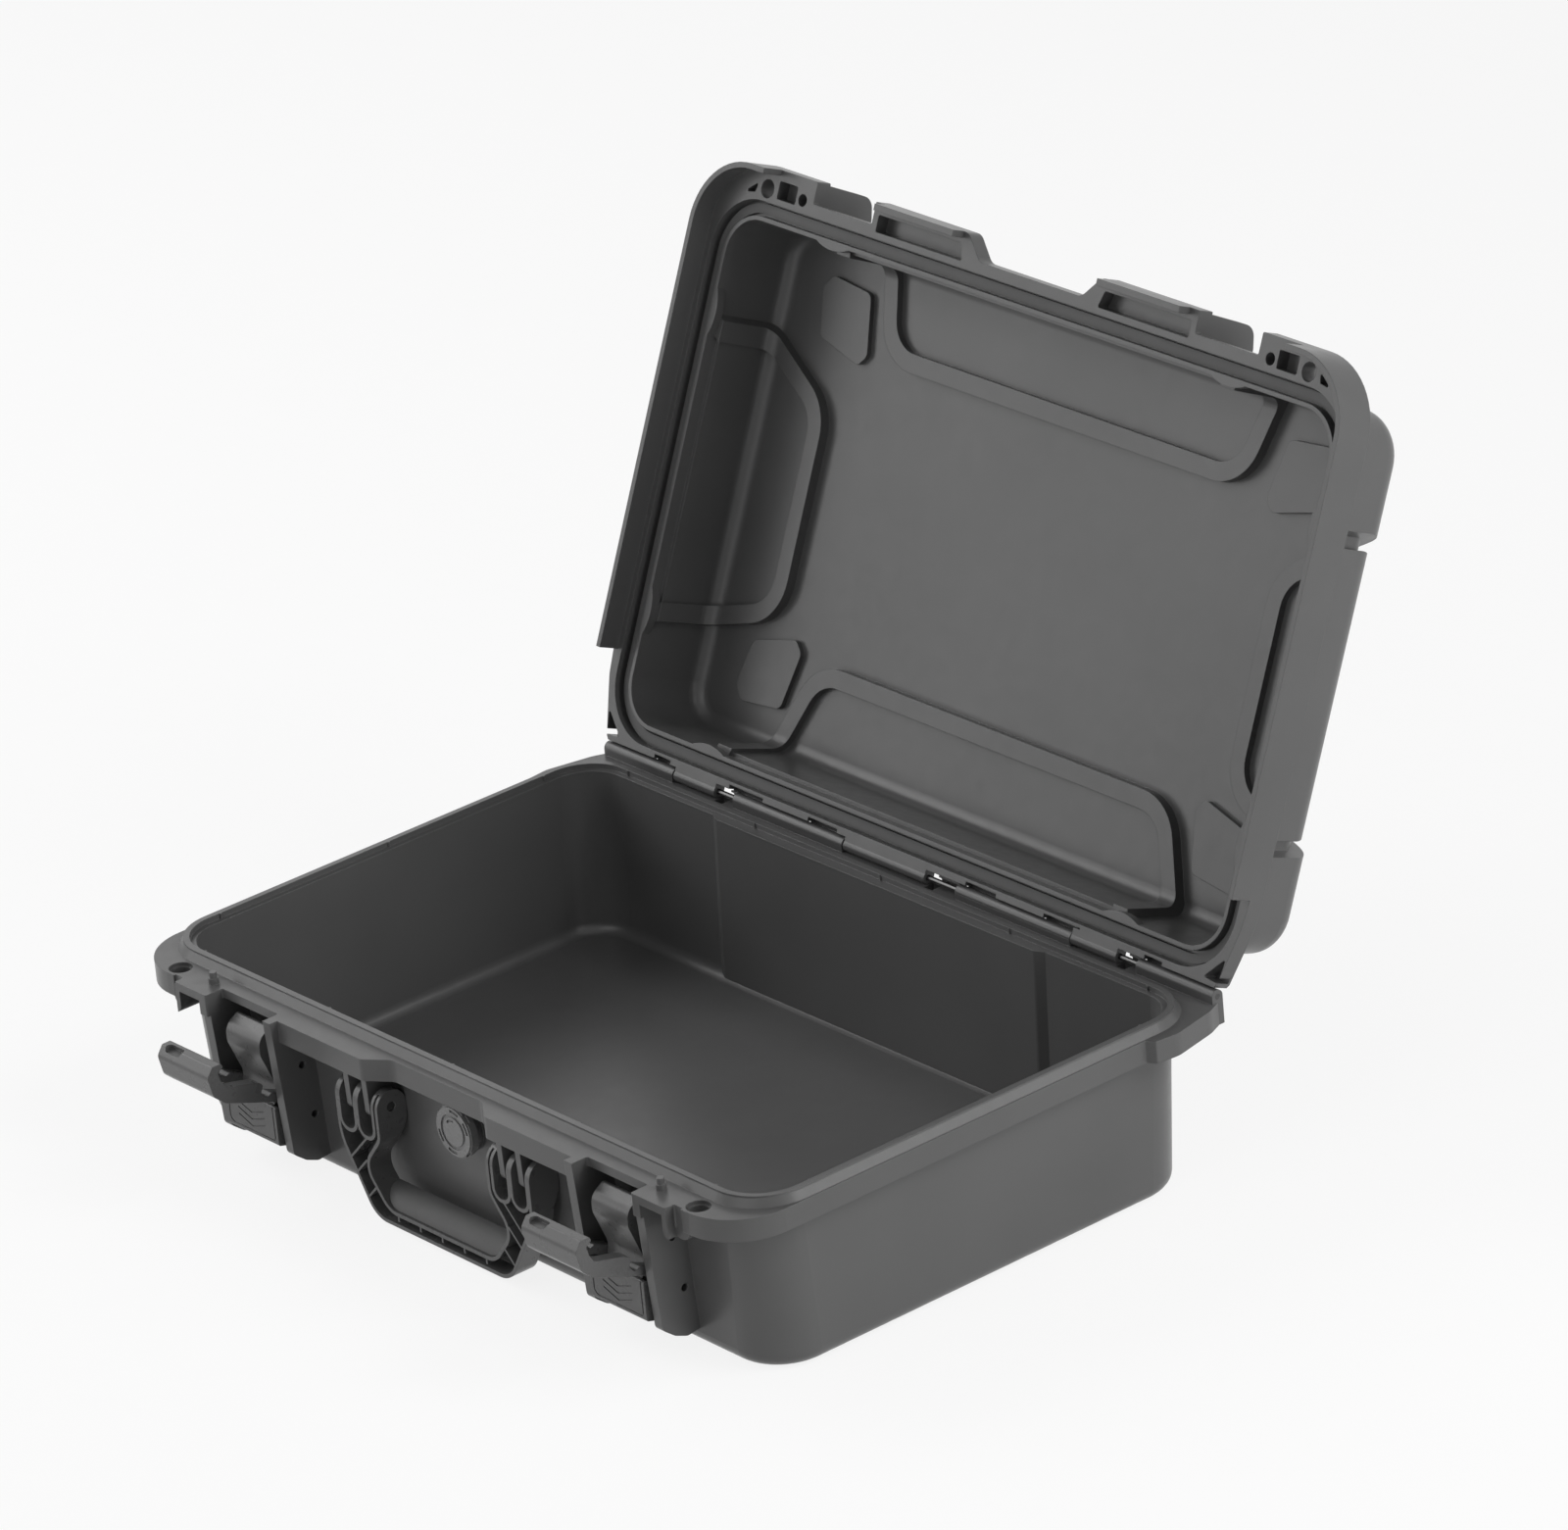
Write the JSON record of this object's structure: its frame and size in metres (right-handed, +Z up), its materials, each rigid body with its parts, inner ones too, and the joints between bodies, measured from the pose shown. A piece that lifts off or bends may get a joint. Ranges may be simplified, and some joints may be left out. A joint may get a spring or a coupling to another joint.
{
  "type": "laptop hard case",
  "caption": "Dark grey moulded hard case with hinged lid, two draw latches, folding carry handle and pressure valve, lid open.",
  "frame": {"origin": "centre of the underside of the base tub", "axes": "+Z up, +X to the right along the case's length, +Y to the back, towards the lid hinge"},
  "size_m": [0.4918, 0.5111, 0.398],
  "materials": {
    "grey_shell": "matte",
    "latch_plastic": "matte",
    "steel_pin": "satin",
    "soft_rubber": "matte"
  },
  "bodies": {
    "base": {"base_shell": "grey_shell", "hinge_pin": "steel_pin", "handle_pin_left": "steel_pin", "handle_pin_right": "steel_pin", "latch_left_lever_pin": "steel_pin", "latch_right_lever_pin": "steel_pin", "valve_cap": "latch_plastic", "valve_body": "latch_plastic", "valve_nut": "latch_plastic", "valve_o_ring": "soft_rubber", "valve_membrane": "soft_rubber"},
    "lid": {"lid_shell": "grey_shell", "lid_gasket": "soft_rubber"},
    "handle": {"handle_frame": "latch_plastic", "handle_grip": "soft_rubber"},
    "lever_left": {"latch_left_lever": "latch_plastic", "latch_left_claw_pin": "steel_pin"},
    "claw_left": {"latch_left_claw": "latch_plastic"},
    "lever_right": {"latch_right_lever": "latch_plastic", "latch_right_claw_pin": "steel_pin"},
    "claw_right": {"latch_right_claw": "latch_plastic"}
  },
  "joints": [
    {"name": "lid_hinge", "type": "hinge", "parent": "base", "child": "lid", "pos_m": [0, 0.155, 0.0965], "axis": [1, 0, 0], "range_deg": [0, 112.76]},
    {"name": "latch_left_lever_hinge", "type": "hinge", "parent": "base", "child": "lever_left", "pos_m": [-0.1455, -0.1481, 0.064], "axis": [1, 0, 0], "range_deg": [-35, 0]},
    {"name": "latch_left_claw_hinge", "type": "hinge", "parent": "lever_left", "child": "claw_left", "pos_m": [-0.1455, -0.1439, 0.035], "axis": [-1, 0, 0], "range_deg": [0, 42]},
    {"name": "latch_right_lever_hinge", "type": "hinge", "parent": "base", "child": "lever_right", "pos_m": [0.1455, -0.1481, 0.064], "axis": [1, 0, 0], "range_deg": [-35, 0]},
    {"name": "latch_right_claw_hinge", "type": "hinge", "parent": "lever_right", "child": "claw_right", "pos_m": [0.1455, -0.1439, 0.035], "axis": [-1, 0, 0], "range_deg": [0, 42]},
    {"name": "handle_hinge", "type": "hinge", "parent": "base", "child": "handle", "pos_m": [0, -0.149, 0.0645], "axis": [-1, 0, 0], "range_deg": [0, 95]}
  ]
}
